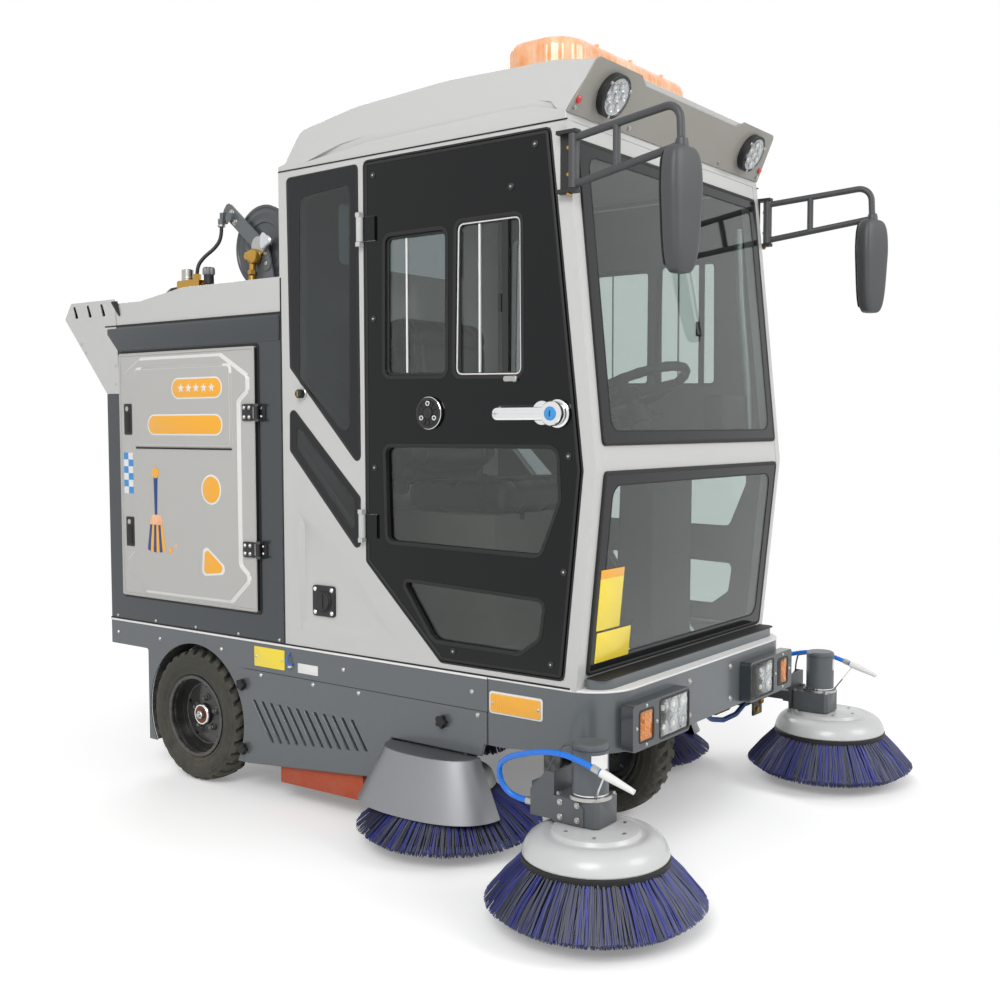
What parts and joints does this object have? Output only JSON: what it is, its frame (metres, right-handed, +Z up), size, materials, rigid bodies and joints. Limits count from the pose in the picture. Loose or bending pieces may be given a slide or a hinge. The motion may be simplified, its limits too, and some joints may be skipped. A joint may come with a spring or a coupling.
{
  "type": "compact ride-on street sweeper truck",
  "caption": "Compact electric street sweeper with a glazed cab, steered front wheel, roller brush, round corner brushes and a rear service body with a hose reel.",
  "frame": {"origin": "on the ground at the middle of the overall length and width", "axes": "+X forward, +Y to the machine's left, +Z up"},
  "size_m": [2.491, 1.8738, 2.119],
  "materials": {
    "tyre": "matte solid rubber with road dust",
    "rim_steel": "satin grey enamel",
    "slate_paint": "satin slate grey enamel",
    "cab_paint": "gloss light warm grey enamel",
    "visor_paint": "satin beige grey enamel",
    "door_black": "gloss black tinted panel",
    "glass": "clear glass",
    "frame_black": "satin black powder coat",
    "bristles": "dark grey and blue filaments",
    "disc_grey": "light grey moulded plastic",
    "motor_grey": "slate grey cast housing",
    "amber_lens": "amber translucent plastic",
    "lamp_black": "charcoal housings with clear and amber lenses",
    "seat_vinyl": "black grained vinyl",
    "black_plastic": "black grained plastic",
    "galvanised": "brushed galvanised sheet",
    "flap_rubber": "red brown rubber sheet",
    "brass": "plain brass",
    "hose_black": "black hose on a steel drum",
    "battery_grey": "plain battery cases",
    "hose_blue": "bright blue water hose",
    "handle_metal": "satin metal handle and black vent"
  },
  "bodies": {
    "chassis": {"rear_axle": "slate_paint", "chassis_frame": "slate_paint", "side_skirts": "slate_paint", "front_bumper": "slate_paint", "cab_side_frames": "cab_paint", "cab_front_frame": "cab_paint", "front_glass": "glass", "cab_rear_wall": "cab_paint", "side_glass": "glass", "cab_floor": "black_plastic", "battery_pack": "battery_grey", "cab_roof": "cab_paint", "roof_visor": "visor_paint", "light_bar": "amber_lens", "lamp_housings": "lamp_black", "body_frame": "slate_paint", "top_cover": "cab_paint", "tail_hood": "cab_paint", "waste_hopper": "slate_paint", "seat_pads": "seat_vinyl", "steering_column": "black_plastic", "brush_shrouds": "galvanised", "rubber_flaps": "flap_rubber", "mirror_clamps": "frame_black", "hose_reel_stand": "frame_black", "water_valves": "brass", "brush_tunnel": "slate_paint", "brush_carriers": "slate_paint", "reel_hose": "hose_black"},
    "rear_wheel_right": {"rear_tyre_right": "tyre", "rear_rim_right": "rim_steel"},
    "rear_wheel_left": {"rear_tyre_left": "tyre", "rear_rim_left": "rim_steel"},
    "steering_yoke": {"steering_fork": "slate_paint"},
    "front_wheel": {"front_tyre": "tyre", "front_rim": "rim_steel"},
    "steering_wheel": {"steering_wheel": "black_plastic"},
    "main_brush": {"main_brush": "bristles"},
    "brush_arm_right": {"front_brush_arm_right": "motor_grey", "water_hose_right": "hose_blue"},
    "brush_arm_left": {"front_brush_arm_left": "motor_grey", "water_hose_left": "hose_blue"},
    "front_brush_right": {"front_brush_right": "bristles"},
    "front_brush_left": {"front_brush_left": "bristles"},
    "side_brush_right": {"side_brush_right": "bristles"},
    "side_brush_left": {"side_brush_left": "bristles"},
    "cab_door_right": {"cab_door_right": "door_black", "door_glass_right": "glass", "door_fittings_right": "handle_metal"},
    "cab_door_left": {"cab_door_left": "door_black", "door_glass_left": "glass", "door_fittings_left": "handle_metal"},
    "service_door_right": {"service_door_right": "cab_paint"},
    "service_door_left": {"service_door_left": "cab_paint"},
    "mirror_right": {"mirror_right": "black_plastic"},
    "mirror_left": {"mirror_left": "black_plastic"},
    "reel_drum": {"reel_drum": "hose_black"}
  },
  "joints": [
    {"name": "rear_wheel_right_roll", "type": "hinge", "parent": "chassis", "child": "rear_wheel_right", "pos_m": [-0.586, -0.4855, 0.206], "axis": [0, 1, 0], "continuous": true},
    {"name": "rear_wheel_left_roll", "type": "hinge", "parent": "chassis", "child": "rear_wheel_left", "pos_m": [-0.586, 0.4855, 0.206], "axis": [0, 1, 0], "continuous": true},
    {"name": "steer", "type": "hinge", "parent": "chassis", "child": "steering_yoke", "pos_m": [0.595, 0, 0.4], "axis": [0, 0, 1], "range_deg": [-65, 65]},
    {"name": "front_wheel_roll", "type": "hinge", "parent": "steering_yoke", "child": "front_wheel", "pos_m": [0.595, 0, 0.206], "axis": [0, 1, 0], "continuous": true},
    {"name": "steering_wheel_turn", "type": "hinge", "parent": "chassis", "child": "steering_wheel", "pos_m": [0.652, 0, 1.199], "axis": [-0.4226, 0, 0.9063], "range_deg": [-195, 195]},
    {"name": "main_brush_spin", "type": "hinge", "parent": "chassis", "child": "main_brush", "pos_m": [-0.03, 0, 0.164], "axis": [0, 1, 0], "continuous": true},
    {"name": "brush_arm_right_lift", "type": "hinge", "parent": "chassis", "child": "brush_arm_right", "pos_m": [0.754, -0.475, 0.262], "axis": [0, 1, 0], "range_deg": [-15, 3]},
    {"name": "front_brush_right_spin", "type": "hinge", "parent": "brush_arm_right", "child": "front_brush_right", "pos_m": [0.994, -0.685, 0.2], "axis": [0, 0, 1], "continuous": true},
    {"name": "side_brush_right_spin", "type": "hinge", "parent": "chassis", "child": "side_brush_right", "pos_m": [0.402, -0.478, 0.2], "axis": [0, 0, 1], "continuous": true},
    {"name": "cab_door_right_swing", "type": "hinge", "parent": "chassis", "child": "cab_door_right", "pos_m": [0.141, -0.533, 1], "axis": [0, 0, -1], "range_deg": [0, 85]},
    {"name": "service_door_right_swing", "type": "hinge", "parent": "chassis", "child": "service_door_right", "pos_m": [-0.275, -0.539, 0.95], "axis": [0, 0, 1], "range_deg": [0, 110]},
    {"name": "mirror_right_fold", "type": "hinge", "parent": "chassis", "child": "mirror_right", "pos_m": [0.832, -0.535, 1.73], "axis": [0, 0, 1], "range_deg": [-80, 60]},
    {"name": "brush_arm_left_lift", "type": "hinge", "parent": "chassis", "child": "brush_arm_left", "pos_m": [0.754, 0.475, 0.262], "axis": [0, 1, 0], "range_deg": [-15, 3]},
    {"name": "front_brush_left_spin", "type": "hinge", "parent": "brush_arm_left", "child": "front_brush_left", "pos_m": [0.994, 0.685, 0.2], "axis": [0, 0, 1], "continuous": true},
    {"name": "side_brush_left_spin", "type": "hinge", "parent": "chassis", "child": "side_brush_left", "pos_m": [0.402, 0.478, 0.2], "axis": [0, 0, 1], "continuous": true},
    {"name": "cab_door_left_swing", "type": "hinge", "parent": "chassis", "child": "cab_door_left", "pos_m": [0.141, 0.533, 1], "axis": [0, 0, 1], "range_deg": [0, 85]},
    {"name": "service_door_left_swing", "type": "hinge", "parent": "chassis", "child": "service_door_left", "pos_m": [-0.275, 0.539, 0.95], "axis": [0, 0, -1], "range_deg": [0, 110]},
    {"name": "mirror_left_fold", "type": "hinge", "parent": "chassis", "child": "mirror_left", "pos_m": [0.832, 0.535, 1.73], "axis": [0, 0, -1], "range_deg": [-80, 60]},
    {"name": "reel_spin", "type": "hinge", "parent": "chassis", "child": "reel_drum", "pos_m": [-0.511, -0.215, 1.682], "axis": [0, 1, 0], "continuous": true}
  ],
  "couplings": [
    {"joint": "steering_wheel_turn", "follows": "steer", "ratio": 3}
  ]
}
